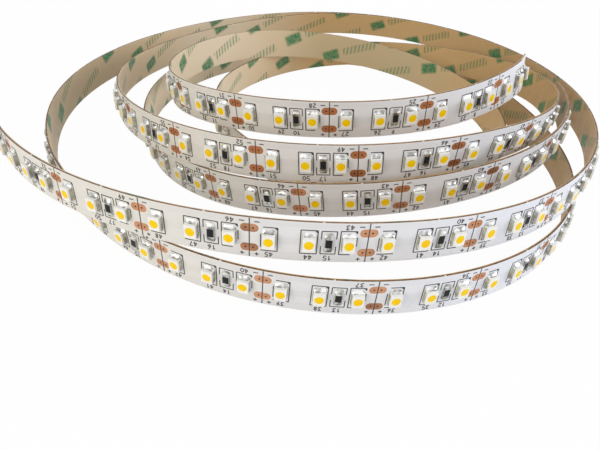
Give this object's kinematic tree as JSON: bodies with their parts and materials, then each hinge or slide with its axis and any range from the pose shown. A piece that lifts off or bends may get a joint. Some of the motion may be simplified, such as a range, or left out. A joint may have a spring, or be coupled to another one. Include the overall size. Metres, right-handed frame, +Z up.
{
  "type": "flexible led strip coil",
  "caption": "Loose coil of flexible LED strip on its edge: white circuit boards with yellow-windowed LEDs facing out, tape and paper liner facing in.",
  "frame": {"origin": "on the surface that the coil stands on, under the middle of its bounding box", "axes": "+Z up, across the strip's width; -Y towards the front of the coil in the picture; +X to its right"},
  "size_m": [0.1828, 0.1812, 0.039],
  "materials": {
    "flex_board": "white solder mask, satin",
    "solder": "bright tin solder",
    "liner": "tan glazed release paper",
    "led_housing": "cream moulded housing",
    "phosphor": "yellow phosphor in clear silicone",
    "resistor_body": "black glaze over ceramic",
    "copper": "bare copper, dulled",
    "print_ink": "black silkscreen ink",
    "liner_print": "green printed marks"
  },
  "bodies": {
    "root": {"flex_board_1": "flex_board", "flex_board_2": "flex_board", "flex_board_3": "flex_board", "flex_board_4": "flex_board", "flex_board_5": "flex_board", "splice_solder_minus_1": "solder", "splice_solder_plus_1": "solder", "splice_solder_minus_2": "solder", "splice_solder_plus_2": "solder", "splice_solder_minus_3": "solder", "splice_solder_plus_3": "solder", "splice_solder_minus_4": "solder", "splice_solder_plus_4": "solder", "tape_and_liner": "liner"}
  },
  "joints": []
}
